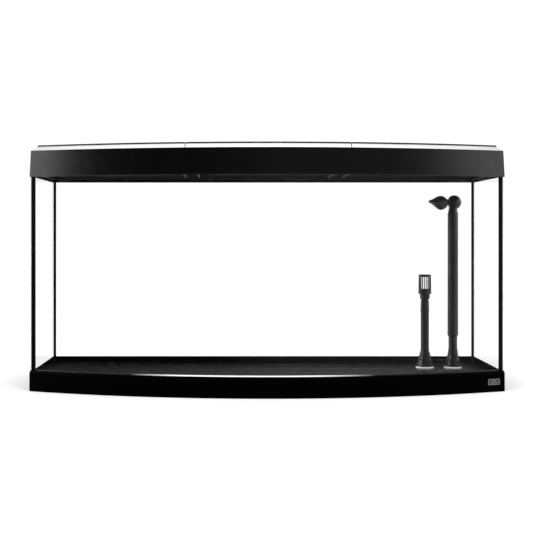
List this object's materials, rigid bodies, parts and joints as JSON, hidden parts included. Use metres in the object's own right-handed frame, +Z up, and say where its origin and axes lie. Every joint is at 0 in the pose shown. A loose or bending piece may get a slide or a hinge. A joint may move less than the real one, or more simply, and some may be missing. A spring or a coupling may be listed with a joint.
{
  "type": "bow-front aquarium",
  "caption": "Bow-front glass aquarium on a moulded base frame, with a lidded light hood and filter intake and outlet pipes through the floor.",
  "frame": {"origin": "centre of the footprint's bounding box on the base frame's underside", "axes": "+X to the right seen from the bowed front, +Y to the rear, +Z up"},
  "size_m": [1.21, 0.46, 0.626],
  "materials": {
    "black_satin": "satin moulded",
    "black_matte": "matte moulded",
    "pipe_black": "satin moulded",
    "nozzle_grey": "satin moulded",
    "clear_glass": "clear polished",
    "silicone_black": "cured silicone",
    "mat_black": "smooth foam film",
    "rubber_pale": "moulded",
    "silver_satin": "satin",
    "badge_silver": "brushed",
    "steel": "turned",
    "reflector_bright": "polished",
    "lamp_white": "opal",
    "holder_grey": "moulded",
    "shield_clear": "clear sheet",
    "rubber_black": "moulded"
  },
  "bodies": {
    "tank": {"base_frame": "black_satin", "base_badge": "badge_silver", "seat_mat": "mat_black", "bottom_glass": "clear_glass", "front_glass": "clear_glass", "right_glass": "clear_glass", "left_glass": "clear_glass", "rear_glass": "clear_glass", "front_seals": "silicone_black", "rear_seals": "silicone_black", "floor_seal": "silicone_black", "rim_frame": "black_matte", "rim_clips": "black_satin", "vent_grille": "black_satin", "intake_bulkhead": "pipe_black", "intake_cone_nut": "pipe_black", "outlet_bulkhead": "pipe_black", "outlet_cone_nut": "pipe_black", "floor_gaskets": "rubber_pale", "lower_washers": "rubber_black", "lock_nuts": "pipe_black", "intake_riser": "pipe_black", "intake_coupling": "pipe_black", "intake_extension": "pipe_black", "outlet_pipe": "pipe_black", "outlet_rim": "pipe_black"},
    "strainer": {"strainer_collar": "pipe_black", "strainer_cage": "pipe_black"},
    "sleeve": {"outlet_sleeve": "pipe_black", "sleeve_gland": "pipe_black"},
    "outlet_swivel": {"outlet_head": "pipe_black"},
    "duckbill": {"nozzle_ball": "nozzle_grey", "nozzle_upper": "pipe_black", "nozzle_lower": "nozzle_grey"},
    "hood": {"hood_frame": "black_satin", "right_cross_rail": "black_matte", "left_cross_rail": "black_matte", "hinge_rail": "black_matte", "hinge_pins": "steel", "rear_panel": "black_satin", "rear_panel_screws": "steel", "cable_grommet": "rubber_black", "light_housing": "black_matte", "light_end_caps": "black_matte", "lamp_holders": "holder_grey", "reflector": "reflector_bright", "front_lamp": "lamp_white", "rear_lamp": "lamp_white", "lamp_caps": "steel", "splash_shield": "shield_clear", "light_screws": "steel", "switch_housing": "black_matte", "switch_pin": "steel"},
    "lid_left": {"left_lid": "black_satin", "left_lid_trim": "silver_satin"},
    "lid_centre": {"centre_lid": "black_satin", "centre_lid_trim": "silver_satin"},
    "lid_right": {"right_lid": "black_satin", "right_lid_trim": "silver_satin"},
    "rocker": {"switch_rocker": "black_satin"}
  },
  "joints": [
    {"name": "strainer_pull", "type": "slide", "parent": "tank", "child": "strainer", "axis": [0, 0, 1], "range_m": [0, 0.06]},
    {"name": "sleeve_height", "type": "slide", "parent": "tank", "child": "sleeve", "axis": [0, 0, 1], "range_m": [-0.034, 0.034]},
    {"name": "head_turn", "type": "hinge", "parent": "sleeve", "child": "outlet_swivel", "pos_m": [0.517, 0.127, 0.457], "axis": [0, 0, 1], "continuous": true},
    {"name": "nozzle_tilt", "type": "hinge", "parent": "outlet_swivel", "child": "duckbill", "pos_m": [0.5165, 0.127, 0.486], "axis": [0, 1, 0], "range_deg": [-14, 14]},
    {"name": "hood_lift", "type": "slide", "parent": "tank", "child": "hood", "axis": [0, 0, 1], "range_m": [0, 0.15]},
    {"name": "left_lid_hinge", "type": "hinge", "parent": "hood", "child": "lid_left", "pos_m": [-0.4, 0.1685, 0.619], "axis": [-1, 0, 0], "range_deg": [0, 85]},
    {"name": "centre_lid_hinge", "type": "hinge", "parent": "hood", "child": "lid_centre", "pos_m": [0, 0.1685, 0.619], "axis": [-1, 0, 0], "range_deg": [0, 85]},
    {"name": "right_lid_hinge", "type": "hinge", "parent": "hood", "child": "lid_right", "pos_m": [0.4, 0.1685, 0.619], "axis": [-1, 0, 0], "range_deg": [0, 85]},
    {"name": "light_switch", "type": "hinge", "parent": "hood", "child": "rocker", "pos_m": [0.4, 0.195, 0.619], "axis": [0, -1, 0], "range_deg": [0, 14]}
  ]
}
